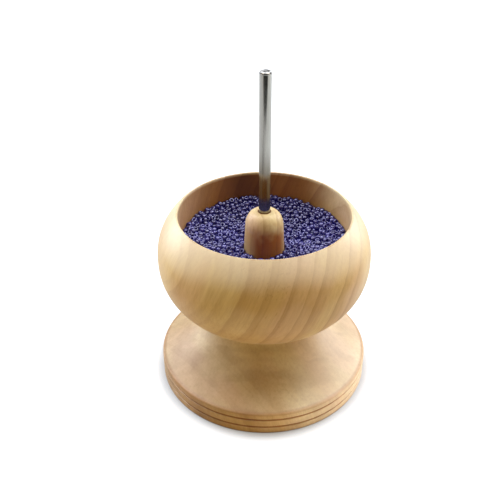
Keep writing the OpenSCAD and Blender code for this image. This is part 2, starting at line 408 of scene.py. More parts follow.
def bowl_outline():
    """Round belly, crisp lip and hollow, with the socket and bore in the floor."""
    steps = 36
    wall_steps = 10
    drop = BELLY_Z - BOWL_Z
    slope = math.radians(LIP_SLOPE)
    climb = LIP_Z + LIP_ROUND * math.cos(slope) - BELLY_Z
    low = belly_reach(BOTTOM_R, drop, LOWER_ROUNDNESS)
    high = belly_reach(LIP_R + LIP_ROUND * math.sin(slope), climb, UPPER_ROUNDNESS)
    below = []
    above = []
    for i in range(steps):
        fall = drop * (1 - i / steps)
        rise = climb * i / steps
        below.append((belly_radius(fall, low, LOWER_ROUNDNESS), BELLY_Z - fall))
        above.append((belly_radius(rise, high, UPPER_ROUNDNESS), BELLY_Z + rise))
    wall_heights = np.linspace(LIP_Z, FLOOR_Z + HOLLOW_ROUND, wall_steps + 1)[1:-1]
    wall = [(hollow_radius(z), z) for z in wall_heights]
    socket_r = TENON_R + GLUE_GAP
    socket_z = TENON_LOW_Z - GLUE_GAP
    return (
        [(BORE_R, BOWL_Z)]
        + below
        + above
        + arc(LIP_R, LIP_Z, LIP_ROUND, 90 - LIP_SLOPE, 180)
        + wall
        + arc(HOLLOW_CORNER_R, FLOOR_Z + HOLLOW_ROUND, HOLLOW_ROUND, 0, -90, steps=12)
        + [(socket_r, FLOOR_Z), (socket_r, socket_z), (BORE_R, socket_z), (BORE_R, BOWL_Z)]
    )


def post_radius(height):
    """Radius of the post's tapered side at a height."""
    along = (height - FLOOR_Z) / (POST_SHOULDER_Z - FLOOR_Z)
    return POST_FOOT_R + (POST_SHOULDER_R - POST_FOOT_R) * along


def post_outline():
    """Tenon, tapered side and round shoulder, with the bore countersunk round the rod."""
    steps = 20
    side_steps = 9
    side = [(post_radius(z), z) for z in np.linspace(FLOOR_Z, POST_SHOULDER_Z, side_steps + 1)]
    shoulder = []
    for i in range(1, steps + 1):
        angle = math.pi / 2 * i / steps
        radius = POST_TOP_R + (POST_SHOULDER_R - POST_TOP_R) * math.cos(angle)
        shoulder.append((radius, POST_SHOULDER_Z + POST_SHOULDER_H * math.sin(angle)))
    sunk_z = POST_TOP_Z - SUNK_DEPTH
    return (
        [(BORE_R, TENON_LOW_Z), (TENON_R, TENON_LOW_Z), (TENON_R, FLOOR_Z)]
        + side
        + shoulder
        + [(SPINDLE_R + SUNK_W, POST_TOP_Z), (BORE_R + SUNK_FOOT_W, sunk_z)]
        + [(BORE_R, sunk_z), (BORE_R, TENON_LOW_Z)]
    )


def spindle_outline():
    """A plain rod whose upper end is rounded over to a rough flat."""
    steps = 23
    low = SPINDLE_LOW.z
    lengths = np.linspace(low + SPINDLE_BEVEL, SPINDLE_TOP_Z - TIP_H, steps + 1)
    return (
        [(0, low), (SPINDLE_R - SPINDLE_BEVEL, low)]
        + [(SPINDLE_R, z) for z in lengths]
        + [(SPINDLE_R - inward, SPINDLE_TOP_Z - below) for inward, below in TIP_ROUNDING]
        + [(0, SPINDLE_TOP_Z)]
    )


def bed_edges():
    """The bed's surface at the post and at the wall, as (radius, height)."""
    low_z = FLOOR_Z + FILL_AT_POST - SOLID_BEAD_L / 2
    high_z = FLOOR_Z + FILL_AT_WALL - SOLID_BEAD_L / 2
    return (post_radius(low_z) + FILL_GAP, low_z), (hollow_radius(high_z) - FILL_GAP, high_z)


def bed_height(radius):
    """Height of the surface that the upper beads are half sunk in."""
    (in_r, low_z), (out_r, high_z) = bed_edges()
    share = np.clip((radius - in_r) / (out_r - in_r), 0, 1)
    return low_z + (high_z - low_z) * share ** FILL_DISH


def bed_outline():
    """The bulk of the beads under the ones that show, from the bowl's floor up."""
    steps = 24
    (in_r, _), (out_r, _) = bed_edges()
    low = (POST_FOOT_R + FILL_GAP, FLOOR_Z + FILL_GAP)
    top = [
        (radius, float(bed_height(radius)) - PLAIN_BED_DEPTH)
        for radius in np.linspace(out_r, in_r, steps + 1)
    ]
    corner = arc(
        HOLLOW_CORNER_R, FLOOR_Z + HOLLOW_ROUND, HOLLOW_ROUND - FILL_GAP, -90, 0, steps=10,
    )
    return [low] + corner + top + [low]


# Geometry Nodes

def new_tree(name, sockets):
    """A geometry tree with a geometry input and output and these named inputs."""
    tree = bpy.data.node_groups.new(name, "GeometryNodeTree")
    tree.interface.new_socket("Geometry", in_out="OUTPUT", socket_type="NodeSocketGeometry")
    tree.interface.new_socket("Geometry", in_out="INPUT", socket_type="NodeSocketGeometry")
    for label, kind, value in sockets:
        socket = tree.interface.new_socket(label, in_out="INPUT", socket_type=kind)
        if value is not None:
            socket.default_value = value
    return tree, tree.nodes.new("NodeGroupInput"), tree.nodes.new("NodeGroupOutput")


def feed(tree, node, inputs):
    """Links each named input to a socket, or sets it to a value."""
    for name, value in inputs.items():
        if isinstance(value, bpy.types.NodeSocket):
            tree.links.new(value, node.inputs[name])
        else:
            node.inputs[name].default_value = value


def add(tree, kind, inputs=None, **settings):
    """A node with its settings made and its inputs fed."""
    node = tree.nodes.new(kind)
    for name, value in settings.items():
        setattr(node, name, value)
    feed(tree, node, inputs or {})
    return node


def calc(tree, operation, first, second=0.0, third=0.0):
    """One step of arithmetic on numbers."""
    numbers = {0: first, 1: second, 2: third}
    return add(tree, "ShaderNodeMath", numbers, operation=operation).outputs[0]


def times(tree, first, second):
    return calc(tree, "MULTIPLY", first, second)


def finish_tree(tree, geometry, given, result):
    """Ends a tree in a real mesh with its material."""
    real = add(tree, "GeometryNodeRealizeInstances", {"Geometry": geometry})
    finish = add(
        tree, "GeometryNodeSetMaterial",
        {"Geometry": real.outputs[0], "Material": given.outputs["Finish"]},
    )
    tree.links.new(finish.outputs[0], result.inputs[0])
    return tree


def lathe_tree():
    """Turns an outline of points round the Z axis, and closes its seam and poles."""
    tree, given, result = new_tree("turned piece", [
        ("Steps Round", "NodeSocketInt", 256),
        ("Finish", "NodeSocketMaterial", None),
    ])
    steps = given.outputs["Steps Round"]
    outline = given.outputs["Geometry"]
    count = add(tree, "GeometryNodeAttributeDomainSize", {"Geometry": outline})
    points = count.outputs["Point Count"]
    columns = add(tree, "FunctionNodeIntegerMath", {0: steps, 1: 1}, operation="ADD")
    grid = add(
        tree, "GeometryNodeMeshGrid", {"Vertices X": columns.outputs[0], "Vertices Y": points},
    )
    index = add(tree, "GeometryNodeInputIndex").outputs[0]
    row = add(tree, "FunctionNodeIntegerMath", {0: index, 1: points}, operation="MODULO")
    column = add(tree, "FunctionNodeIntegerMath", {0: index, 1: points}, operation="DIVIDE_FLOOR")
    place = add(tree, "GeometryNodeInputPosition").outputs[0]
    sample = add(
        tree, "GeometryNodeSampleIndex",
        {"Geometry": outline, "Value": place, "Index": row.outputs[0]},
        data_type="FLOAT_VECTOR", domain="POINT",
    )
    part = calc(tree, "DIVIDE", column.outputs[0], steps)
    turned = add(
        tree, "ShaderNodeVectorRotate",
        {"Vector": sample.outputs[0], "Angle": times(tree, part, math.tau)},
        rotation_type="Z_AXIS",
    )
    placed = add(
        tree, "GeometryNodeSetPosition",
        {"Geometry": grid.outputs["Mesh"], "Position": turned.outputs[0]},
    )
    seam = {"Geometry": placed.outputs[0], "Distance": 0.002 * MM}
    closed = add(tree, "GeometryNodeMergeByDistance", seam)
    smooth = add(tree, "GeometryNodeSetShadeSmooth", {"Geometry": closed.outputs[0]})
    return finish_tree(tree, smooth.outputs[0], given, result)


def bead_tree():
    """Sets a small round-edged bead on every point, turned and sized as the point says."""
    tree, given, result = new_tree("seed beads", [
        ("Bead Radius", "NodeSocketFloat", BEAD_R * MM),
        ("Hole Radius", "NodeSocketFloat", BEAD_HOLE_R * MM),
        ("Bead Length", "NodeSocketFloat", BEAD_LENGTH * MM),
        ("Steps Round", "NodeSocketInt", BEAD_STEPS_ROUND),
        ("Finish", "NodeSocketMaterial", None),
    ])
    outer = given.outputs["Bead Radius"]
    inner = given.outputs["Hole Radius"]
    ring = add(
        tree, "GeometryNodeCurvePrimitiveCircle",
        {
            "Resolution": given.outputs["Steps Round"],
            "Radius": times(tree, calc(tree, "ADD", outer, inner), 0.5),
        },
    )
    # The bead's wall is a few-sided ring, turned so that two of its flats lie in and out
    half_side = math.pi / BEAD_WALL_SIDES
    wall = calc(tree, "SUBTRACT", outer, inner)
    size = add(
        tree, "ShaderNodeCombineXYZ",
        {
            "X": times(tree, wall, 0.5 / math.cos(half_side)),
            "Y": times(tree, given.outputs["Bead Length"], 0.5),
            "Z": 1.0,
        },
    )
    section = add(
        tree, "GeometryNodeCurvePrimitiveCircle", {"Resolution": BEAD_WALL_SIDES, "Radius": 1.0},
    )
    upright = add(
        tree, "GeometryNodeTransform",
        {"Geometry": section.outputs[0], "Rotation": (0, 0, half_side)},
    )
    shape = {"Geometry": upright.outputs[0], "Scale": size.outputs[0]}
    sized = add(tree, "GeometryNodeTransform", shape)
    bead = add(
        tree, "GeometryNodeCurveToMesh",
        {"Curve": ring.outputs[0], "Profile Curve": sized.outputs[0]},
    )
    smooth = add(tree, "GeometryNodeSetShadeSmooth", {"Geometry": bead.outputs[0]})
    turn = add(tree, "GeometryNodeInputNamedAttribute", {"Name": "turn"}, data_type="FLOAT_VECTOR")
    turned = add(tree, "FunctionNodeEulerToRotation", {"Euler": turn.outputs[0]})
    scale = add(tree, "GeometryNodeInputNamedAttribute", {"Name": "size"}, data_type="FLOAT")
    placed = add(
        tree, "GeometryNodeInstanceOnPoints",
        {
            "Points": given.outputs["Geometry"],
            "Instance": smooth.outputs[0],
            "Rotation": turned.outputs[0],
            "Scale": scale.outputs[0],
        },
    )
    return finish_tree(tree, placed.outputs[0], given, result)


def grow(piece, tree, values):
    """Runs a geometry tree on a piece, keeps its result as a plain mesh and drops the modifier."""
    modifier = piece.modifiers.new(tree.name, "NODES")
    modifier.node_group = tree
    for socket in tree.interface.items_tree:
        if socket.in_out == "INPUT" and socket.name in values:
            modifier[socket.identifier] = values[socket.name]
    graph = bpy.context.evaluated_depsgraph_get()
    mesh = bpy.data.meshes.new_from_object(piece.evaluated_get(graph))
    piece.modifiers.clear()
    piece.data = mesh


def new_piece(name, points, faces=()):
    mesh = bpy.data.meshes.new(name)
    mesh.from_pydata(points, [], faces)
    piece = bpy.data.objects.new(name, mesh)
    bpy.context.scene.collection.objects.link(piece)
    return piece


def turned_piece(name, outline, finish, steps=256):
    """A piece turned from an outline in millimetres, with its corners kept crisp."""
    sharp_from = 38
    piece = new_piece(name, [(radius * MM, 0, height * MM) for radius, height in outline])
    grow(piece, LATHE, {"Steps Round": steps, "Finish": finish})
    piece.data.set_sharp_from_angle(angle=math.radians(sharp_from))
    return piece


# Tools for the materials

def new_material(name):
    material = bpy.data.materials.new(name)
    material.use_nodes = True
    tree = material.node_tree
    return material, tree, tree.nodes["Principled BSDF"]


def in_mm(tree, turn=0.0, stretch=(1.0, 1.0, 1.0)):
    """The object's own coordinates in millimetres, turned about Z and stretched."""
    place = add(tree, "ShaderNodeTexCoord").outputs["Object"]
    mapping = add(
        tree, "ShaderNodeMapping",
        {
            "Vector": place,
            "Rotation": (0, 0, math.radians(turn)),
            "Scale": [1 / MM * share for share in stretch],
        },
        vector_type="POINT",
    )
    return mapping.outputs[0]


def stretched(tree, vector, shares):
    both = {0: vector, 1: shares}
    return add(tree, "ShaderNodeVectorMath", both, operation="MULTIPLY").outputs[0]


def split(tree, vector):
    parts = add(tree, "ShaderNodeSeparateXYZ", {0: vector})
    return parts.outputs["X"], parts.outputs["Y"], parts.outputs["Z"]


def noise(tree, vector, scale, detail, rough=0.5, distort=0.0):
    """Soft clouds, with their number per millimetre."""
    node = add(
        tree, "ShaderNodeTexNoise",
        {
            "Vector": vector, "Scale": scale, "Detail": detail, "Roughness": rough,
            "Distortion": distort,
        },
    )
    return node.outputs["Fac"]


def ramp(tree, factor, *stops):
    """A ramp through stops of (position, colour or grey level)."""
    node = add(tree, "ShaderNodeValToRGB", {"Fac": factor})
    band = node.color_ramp
    while len(band.elements) < len(stops):
        band.elements.new(0.5)
    for element, (position, tone) in zip(band.elements, stops):
        element.position = position
        element.color = tone if isinstance(tone, tuple) else (tone, tone, tone, 1.0)
    return node.outputs["Color"]


def between(tree, pattern, ends, start=0.3, end=0.7):
    """Goes from one tone to another as a pattern rises."""
    return ramp(tree, pattern, (start, ends[0]), (end, ends[1]))


def mix(tree, factor, first, second, kind="MIX"):
    node = add(tree, "ShaderNodeMix", data_type="RGBA", blend_type=kind)
    feed(tree, node, {0: factor, 6: first, 7: second})
    return node.outputs[2]


def tinted(tree, share, colour, stain):
    """A colour with a share of a tint multiplied into it, used for stains and for painted shade
    alike.
    """
    return mix(tree, share, colour, mix(tree, 1.0, colour, stain, "MULTIPLY"))


def distance_out(tree, x, y):
    """Distance from the turning axis."""
    return calc(tree, "SQRT", calc(tree, "MULTIPLY_ADD", y, y, times(tree, x, x)))


def zone_share(tree, value, zone):
    """How far a value is into a zone: 0 where the zone begins, and 1 where it is full."""
    start, full = zone
    node = add(
        tree, "ShaderNodeMapRange", {"Value": value, "From Min": start, "From Max": full},
        interpolation_type="SMOOTHSTEP",
    )
    return node.outputs[0]


def near_share(tree, value, middle, zone):
    """The same for a value's distance from a middle, on either side of it."""
    away = calc(tree, "ABSOLUTE", calc(tree, "SUBTRACT", value, middle))
    return zone_share(tree, away, zone)


def drifting(tree, value, pattern, reach):
    """A value moved to and fro by a pattern."""
    return calc(tree, "MULTIPLY_ADD", calc(tree, "SUBTRACT", pattern, 0.5), reach, value)


def at_least(tree, share, least):
    """A share of 0 to 1, lifted to start from a least value."""
    return calc(tree, "MULTIPLY_ADD", share, 1.0 - least, least)


def bump(tree, height, strength, depth, below=None):
    """Roughens the surface to a depth in millimetres, over any finer bump given."""
    inputs = {"Height": height, "Strength": strength, "Distance": depth * MM}
    if below is not None:
        inputs["Normal"] = below
    return add(tree, "ShaderNodeBump", inputs).outputs[0]


# Materials

def wood_place(tree, heading, tip):
    """Millimetres across the growth sheets in X, along them in Y, and with the fibres in Z."""
    turn, lean = math.radians(heading), math.radians(tip)
    across = Vector(
        (math.cos(turn) * math.cos(lean), math.sin(turn) * math.cos(lean), -math.sin(lean)),
    )
    side = Vector((-math.sin(turn), math.cos(turn), 0))
    frame_turn = Matrix((across, side, across.cross(side))).to_euler()
    place = add(tree, "ShaderNodeTexCoord").outputs["Object"]
    mapping = add(
        tree, "ShaderNodeMapping",
        {"Vector": place, "Rotation": frame_turn, "Scale": (1 / MM,) * 3}, vector_type="POINT",
    )
    return mapping.outputs[0]


def growth_rings(tree, across, rings):
    """How dark the late wood is: full just past each ring's edge, then fading to the next ring."""
    low = rings[0][0] - RING_MARGIN
    high = rings[-1][0] + RING_MARGIN
    span = high - low
    first_fade = 0.3
    stops = [(0.0, (first_fade, rings[0][1], 0.0, 1.0))]
    for number, (place, strength) in enumerate(rings):
        before = rings[number - 1][1] if number else strength
        stops.append(((place - RING_EDGE - low) / span, (0.0, before, 0.0, 1.0)))
        stops.append(((place - low) / span, (1.0, strength, 0.0, 1.0)))
    stops.append((1.0, (0.0, rings[-1][1], 0.0, 1.0)))
    share = calc(tree, "DIVIDE", calc(tree, "SUBTRACT", across, low), span)
    lines = add(tree, "ShaderNodeSeparateColor", {0: ramp(tree, share, *stops)})
    fading = calc(tree, "POWER", lines.outputs["Red"], RING_FADE)
    return times(tree, fading, lines.outputs["Green"])


def make_wood(name, heading, tip, rings, tints, flecks, lines, tone):
    """Pale close-grained hardwood: soft growth rings, fine fibres, flecks and drifting tints."""
    cream, tan, rosy, late = tints
    material, tree, shader = new_material(name)
    place = wood_place(tree, heading, tip)
    across, _, _ = split(tree, place)
    sway = noise(tree, place, scale=0.045, detail=2.0)
    wobble = noise(tree, place, scale=0.5, detail=2.0)
    bent = drifting(tree, across, sway, RING_SWAY)
    bent = drifting(tree, bent, wobble, RING_WOBBLE)
    ring = growth_rings(tree, bent, rings)
    strands = add(
        tree, "ShaderNodeTexNoise", {"W": bent, "Scale": 0.55, "Detail": 4.0, "Roughness": 0.7},
        noise_dimensions="1D",
    ).outputs["Fac"]

    def grain_noise(stretch, **sizes):
        return noise(tree, stretched(tree, place, stretch), **sizes)

    fibre = grain_noise((1.0, 1.0, 0.045), scale=1.1, detail=4.0, rough=0.65)
    fine = grain_noise((1.0, 1.0, 0.07), scale=4.0, detail=3.0, rough=0.6)
    cloud = grain_noise((1.0, 0.8, 0.4), scale=0.075, detail=2.0)
    blush = grain_noise((1.6, 0.8, 0.35), scale=0.06, detail=1.0, rough=0.4)
    speckle = grain_noise((1.0, 1.0, 0.3), scale=2.1, detail=1.0, rough=0.4)
    fleck_zones = noise(tree, place, scale=0.07, detail=0.0)

    grain = mix(tree, ramp(tree, cloud, (0.36, 0.0), (0.62, 1.0)), cream, tan)
    grain = mix(tree, ramp(tree, blush, (0.48, 0.0), (0.62, 0.7)), grain, rosy)
    specks = times(
        tree,
        ramp(tree, speckle, (0.64, 0.0), (0.72, flecks)),
        ramp(tree, fleck_zones, (0.54, 0.0), (0.64, 1.0)),
    )
    for darker in (
        times(tree, ring, RING_DARKNESS),
        ramp(tree, strands, (0.5, 0.0), (0.72, lines)),
        ramp(tree, fibre, (0.42, 0.0), (0.75, FIBRE_DARKNESS)),
        specks,
    ):
        grain = mix(tree, darker, grain, late)
    grain = mix(tree, 1.0, grain, between(tree, fine, (0.95, 1.03)), "MULTIPLY")
    feed(tree, shader, {
        "Base Color": tone(tree, grain),
        "Roughness": between(tree, fibre, (0.38, 0.5)),
        "Specular IOR Level": 0.55,
        "Sheen Weight": 0.14,
        "Sheen Roughness": 0.4,
        "Normal": bump(tree, fine, strength=0.15, depth=0.05),
    })
    return material


def tone_bowl(tree, grain):
    """Painted shade in the hollow, darkest at the back; a dark patch behind the post, partly a
    knot and partly painted shade; a band of painted shade round the belly; and a painted sheen on
    the shoulder and sides.
    """
    place = in_mm(tree)
    x, y, z = split(tree, place)
    out = distance_out(tree, x, y)
    aside = calc(tree, "ABSOLUTE", x)

    # Painted shade inside the hollow, less of it towards the sides
    in_hollow = calc(tree, "LESS_THAN", out, HOLLOW_OUT)
    below_lip = zone_share(tree, z, HOLLOW_TOP)
    left = times(tree, zone_share(tree, x, HOLLOW_LEFT), HOLLOW_LEFT_PALER)
    right = times(tree, zone_share(tree, x, HOLLOW_RIGHT), HOLLOW_RIGHT_PALER)
    share = calc(tree, "SUBTRACT", calc(tree, "SUBTRACT", 1.0, left), right)
    share = times(tree, times(tree, in_hollow, below_lip), share)
    grain = tinted(tree, share, grain, HOLLOW_PAINTED_SHADE)
    # Dark patch behind the post: partly a knot, partly painted shade
    heart = near_share(tree, x, HEART_X, HEART_ASIDE)
    heart = times(tree, heart, zone_share(tree, y, HEART_BACK))
    grain = tinted(tree, times(tree, heart, below_lip), grain, BACK_KNOT_AND_SHADE)

    # Painted shade in an amber band round the belly
    level = drifting(tree, z, noise(tree, place, scale=0.06, detail=1.0), AMBER_DRIFT)
    grain = tinted(tree, near_share(tree, level, AMBER_Z, AMBER_AWAY), grain, AMBER_PAINTED_SHADE)

    # Painted sheen on the shoulder and at the sides
    outside = calc(tree, "GREATER_THAN", out, PAINTED_SHEEN_OUT)
    lower_aside = calc(tree, "MULTIPLY_ADD", aside, PAINTED_SHEEN_FALL, z)
    shoulder = zone_share(tree, lower_aside, PAINTED_SHEEN_SHOULDER)
    painted_light = calc(tree, "MAXIMUM", shoulder, zone_share(tree, aside, PAINTED_SHEEN_SIDES))
    return mix(tree, times(tree, times(tree, painted_light, PAINTED_SHEEN_SHARE), outside), grain, PAINTED_SHEEN_TINT)


def tone_post(tree, grain):
    """The post is cream at the top and red-brown towards its foot, most of all in front, which is
    painted shade, with a painted dark ring round the rod's seat.
    """
    place = in_mm(tree)
    x, y, z = split(tree, place)
    # Painted shade, warm and red-brown low on the post, most in front
    level = drifting(tree, z, noise(tree, place, scale=0.35, detail=1.0), POST_DRIFT)
    low = zone_share(tree, level, POST_LOW_ZONE)
    front = near_share(tree, x, POST_FRONT_X, POST_FRONT_ASIDE)
    dark = mix(tree, 1.0, grain, POST_PAINTED_SHADE, "MULTIPLY")
    toned = tinted(tree, low, grain, POST_WARM_SHADE)
    toned = mix(tree, times(tree, low, at_least(tree, front, POST_SIDE_SHARE)), toned, dark)
    # Painted shade in a dark ring round the rod's seat
    return tinted(tree, zone_share(tree, distance_out(tree, x, y), ROD_SEAT), toned, POST_PAINTED_SHADE)


def tone_base(tree, grain):
    """Tan figure on the left, partly painted shade; painted light on the right; painted warm shade
    at the front; a darker brim; painted shade at the foot's top and bottom edges, and in the
    grooves with their burn lines.
    """
    x, y, z = split(tree, in_mm(tree))
    out = distance_out(tree, x, y)
    cloud = noise(tree, in_mm(tree, turn=35, stretch=(1.0, 0.3, 0.3)), scale=0.11, detail=2.0)
    # Tan figure on the left side: partly the wood's figure, partly painted shade
    tan = at_least(tree, zone_share(tree, cloud, TAN_FIGURE), TAN_LEAST)
    grain = tinted(tree, times(tree, tan, zone_share(tree, x, TAN_LEFT)), grain, TAN_TONE_AND_SHADE)
    patches = noise(
        tree, in_mm(tree, turn=40, stretch=(0.25, 1.0, 1.0)), scale=0.16, detail=2.0, distort=0.5,
    )
    mottled = times(tree, zone_share(tree, patches, MOTTLE_FIGURE), MOTTLE_SHARE)
    grain = tinted(tree, mottled, grain, TAN_TONE_AND_SHADE)
    # Painted light on the base's right side
    painted_light = times(tree, zone_share(tree, x, FOOT_PAINTED_LIGHT_RIGHT), FOOT_PAINTED_LIGHT_SHARE)
    grain = mix(tree, painted_light, grain, FOOT_PAINTED_LIGHT)
    # Painted warm shade at the front centre, under the bowl
    middle = calc(tree, "ADD", calc(tree, "ABSOLUTE", x), times(tree, cloud, GOLD_DRIFT))
    gold = times(tree, zone_share(tree, middle, GOLD_ASIDE), zone_share(tree, y, GOLD_FRONT))
    grain = tinted(tree, gold, grain, GOLD_PAINTED_SHADE)

    side = zone_share(tree, out, FOOT_SIDE_OUT)
    # The flare's outer part a little darker and greyer
    brim = calc(tree, "SUBTRACT", zone_share(tree, out, BRIM_OUT), side)
    grain = tinted(tree, brim, grain, BRIM_DARKER)
    grain = tinted(tree, side, grain, FOOT_SIDE_STAIN)
    # Painted shade along the foot's bottom edge
    bottom_shade = times(tree, zone_share(tree, z, FOOT_BOTTOM_SHADE), FOOT_BOTTOM_SHADE_SHARE)
    grain = tinted(tree, bottom_shade, grain, GROOVE_BURN_AND_SHADE)
    # Grooves darker: partly burn lines, partly painted shade
    groove_out = zone_share(tree, out, GROOVE_OUT)
    for height in GROOVE_HEIGHTS:
        in_groove = times(tree, near_share(tree, z, height, GROOVE_AWAY), groove_out)
        grain = tinted(tree, in_groove, grain, GROOVE_BURN_AND_SHADE)
    # Painted shade at the crease under the foot's top edge
    near = near_share(tree, z, TOP_EDGE_Z, TOP_EDGE_AWAY)
    on_edge = times(tree, near, zone_share(tree, out, TOP_EDGE_OUT))
    return tinted(tree, times(tree, on_edge, TOP_EDGE_SHARE), grain, GROOVE_BURN_AND_SHADE)


def make_steel():
    """Ground rod: light grey with fine scratches along it, a painted dark reflection low down near
    the post, and a dull sawn tip.
    """
    material, tree, shader = new_material("ground_steel")
    place = in_mm(tree)
    x, y, z = split(tree, place)
    scratches = noise(
        tree, in_mm(tree, stretch=(1.0, 1.0, 0.03)), scale=5.0, detail=3.0, rough=0.7,
    )
    tint = between(tree, scratches, STEEL_TINTS)
    # Painted dark reflection on the rod's lower part
    tint = tinted(tree, zone_share(tree, z, ROD_FOOT), tint, ROD_FOOT_PAINTED_REFLECTION)
    tip = zone_share(tree, z, TIP_ZONE)
    pits = noise(tree, place, scale=1.7, detail=2.0, rough=0.6)
    sawn = between(tree, pits, SAWN_TINTS, 0.44, 0.56)
    # Darker towards the back of the tip's rim
    back_rim = zone_share(tree, distance_out(tree, x, y), TIP_BACK_RIM_OUT)
    back_rim = times(tree, back_rim, zone_share(tree, y, TIP_BACK_RIM_BACK))
    ground = bump(tree, scratches, strength=0.1, depth=0.02)
    feed(tree, shader, {
        "Base Color": mix(tree, tip, tint, mix(tree, back_rim, sawn, TIP_BACK_RIM_TINT)),
        "Roughness": mix(tree, tip, between(tree, scratches, STEEL_ROUGHNESS), SAWN_ROUGHNESS),
        "Metallic": 1.0,
        "Normal": bump(tree, times(tree, pits, tip), strength=0.6, depth=0.25, below=ground),
    })
    return material


def make_metal(name, tints, roughness, stretch, **pattern):
    """Plain metal whose tint and polish vary a little with a pattern."""
    material, tree, shader = new_material(name)
    marks = noise(tree, in_mm(tree, stretch=stretch), **pattern)
    feed(tree, shader, {
        "Base Color": between(tree, marks, tints),
        "Roughness": between(tree, marks, roughness),
        "Metallic": 1.0,
    })
    return material


def make_brass():
    """Turned brass of the bearing cup, with fine rings from the tool."""
    return make_metal(
        "turned_brass", BRASS_TINTS, BRASS_ROUGHNESS, (0.1, 0.1, 3.0),
        scale=1.5, detail=3.0, rough=0.6,
    )


def make_ball_steel():
    """Polished bearing ball with a faint haze."""
    return make_metal(
        "polished_ball", BALL_TINTS, BALL_ROUGHNESS, (1.0, 1.0, 1.0), scale=1.2, detail=3.0,
    )


def make_bead_glass():
    """Dark blue-violet glass with a lilac shine, each bead a little different, with painted shade
    on the far beads and a faint painted blue glow.
    """
    material, tree, shader = new_material("bead_glass")
    shade = add(tree, "ShaderNodeAttribute", attribute_name="shade").outputs["Fac"]
    dark, middle, light = GLASS_TINTS
    tint = ramp(tree, shade, (0.0, dark), (0.5, middle), (1.0, light))
    # Painted shade on the beads towards the back
    _, y, _ = split(tree, in_mm(tree))
    feed(tree, shader, {
        "Base Color": tinted(tree, zone_share(tree, y, FAR_BEADS), tint, FAR_BEADS_PAINTED_SHADE),
        "Roughness": between(tree, shade, GLASS_ROUGHNESS, 0.0, 1.0),
        "IOR": 1.75,
        "Specular IOR Level": 0.8,
        "Specular Tint": GLASS_SHINE,
        # Painted blue glow
        "Emission Color": PAINTED_BLUE_GLOW,
        "Emission Strength": 1.0,
    })
    return material


def make_deep_beads():
    """The beads deeper down, seen only as near-black blue between the top ones, with a faint
    painted blue glow.
    """
    material, tree, shader = new_material("bead_bed_deep")
    mottle = noise(tree, in_mm(tree), scale=0.8, detail=2.0, rough=0.6)
    feed(tree, shader, {
        "Base Color": between(tree, mottle, DEEP_TINTS, 0.35, 0.7),
        "Roughness": 0.5,
        # Painted blue glow
        "Emission Color": PAINTED_BLUE_GLOW,
        "Emission Strength": 1.0,
    })
    return material


# Beads

def upper_beads():
    """Places of the solid's own beads, and each one's tilt and heading."""
    (in_r, _), (out_r, _) = bed_edges()
    reach = math.hypot(SOLID_BEAD_D, SOLID_BEAD_L) / 2
    first, last = in_r + reach, out_r - reach
    room = SOLID_BEAD_PITCH ** 2 * math.sin(math.radians(60))
    count = int(math.pi * (last ** 2 - first ** 2) / room)
    number = np.arange(count)
    radius = np.sqrt(first ** 2 + (last ** 2 - first ** 2) * (number + 0.5) / count)
    turn = np.radians(GOLDEN_ANGLE) * number
    places = np.stack([radius * np.cos(turn), radius * np.sin(turn), bed_height(radius)], axis=1)
    tilt = np.radians(SOLID_BEAD_TILT) * (number * TILT_STEP % 1)
    heading = turn + math.tau * (number * HEADING_STEP % 1)
    return places, tilt, heading


def pour_beads(rng):
    """Where the beads start, the upper ones first, with each one's tilt and heading."""
    (post_r, _), (wall_r, _) = bed_edges()
    upper, upper_tilt, upper_heading = upper_beads()
    loose = BEAD_COUNT - len(upper)
    out = np.sqrt(rng.uniform(post_r ** 2, wall_r ** 2, loose))
    bearing = rng.uniform(0, math.tau, loose)
    height = bed_height(out) - BED_DEPTH + rng.uniform(*POUR_HEIGHTS, loose)
    poured = np.stack([out * np.cos(bearing), out * np.sin(bearing), height], axis=1)
    lying = rng.uniform(0, 1, loose) < LYING_SHARE
    tilt = np.where(lying, rng.normal(0, LYING_TILT, loose), np.arccos(rng.uniform(-1, 1, loose)))
    heading = rng.uniform(0, math.tau, loose)
    return (
        np.concatenate([upper, poured]),
        np.concatenate([upper_tilt, tilt]),
        np.concatenate([upper_heading, heading]),
    )


def bead_half(axes, towards):
    """Half the bead's thickness in a direction, taking it as a rounded lozenge."""
    along = np.abs(np.sum(axes * towards, axis=-1))
    return 1 / np.sqrt((1 - along ** 2) / BEAD_R ** 2 + along ** 2 / (BEAD_LENGTH / 2) ** 2)


def near_pairs(places):
    """Numbers of the beads that lie close enough to touch soon."""
    reach = 2.3 * BEAD_R
    spread = places[:, None, :] - places[None, :, :]
    near = np.sum(spread ** 2, axis=2) < reach ** 2
    return np.nonzero(np.triu(near, 1))


